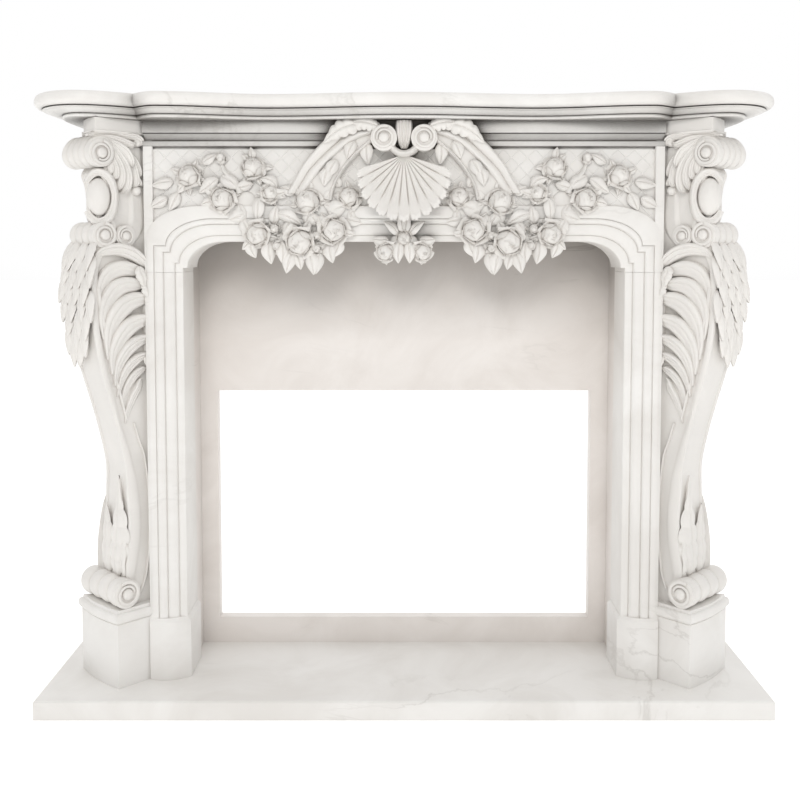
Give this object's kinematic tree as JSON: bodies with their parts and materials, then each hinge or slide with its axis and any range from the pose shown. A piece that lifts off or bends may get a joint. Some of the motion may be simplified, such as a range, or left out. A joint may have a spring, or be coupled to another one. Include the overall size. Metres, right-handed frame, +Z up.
{
  "type": "fireplace mantel",
  "caption": "Carved marble fireplace mantel with a serpentine shelf, a shouldered arch, a garlanded frieze with a shell, and diagonal scroll consoles on a hearth slab.",
  "frame": {"origin": "on the floor under the middle of the hearth slab, half way between its front edge and the wall", "axes": "+X along the shelf, +Y towards the wall behind the mantel, +Z up"},
  "size_m": [1.74, 0.38, 1.447],
  "materials": {
    "marble_slab": "honed white marble with faint grey veins",
    "marble_carved": "hand-carved white marble, smoothed"
  },
  "bodies": {
    "root": {"hearth_slab": "marble_slab", "back_panel": "marble_slab", "cheek_left": "marble_slab", "cheek_right": "marble_slab", "side_return_left": "marble_slab", "side_return_right": "marble_slab", "jamb_plinth_left": "marble_slab", "jamb_plinth_right": "marble_slab", "jamb_left": "marble_slab", "jamb_right": "marble_slab", "console_plinth_left": "marble_slab", "console_plinth_right": "marble_slab", "console_left": "marble_carved", "console_right": "marble_carved", "frieze": "marble_carved", "shelf": "marble_slab"}
  },
  "joints": []
}
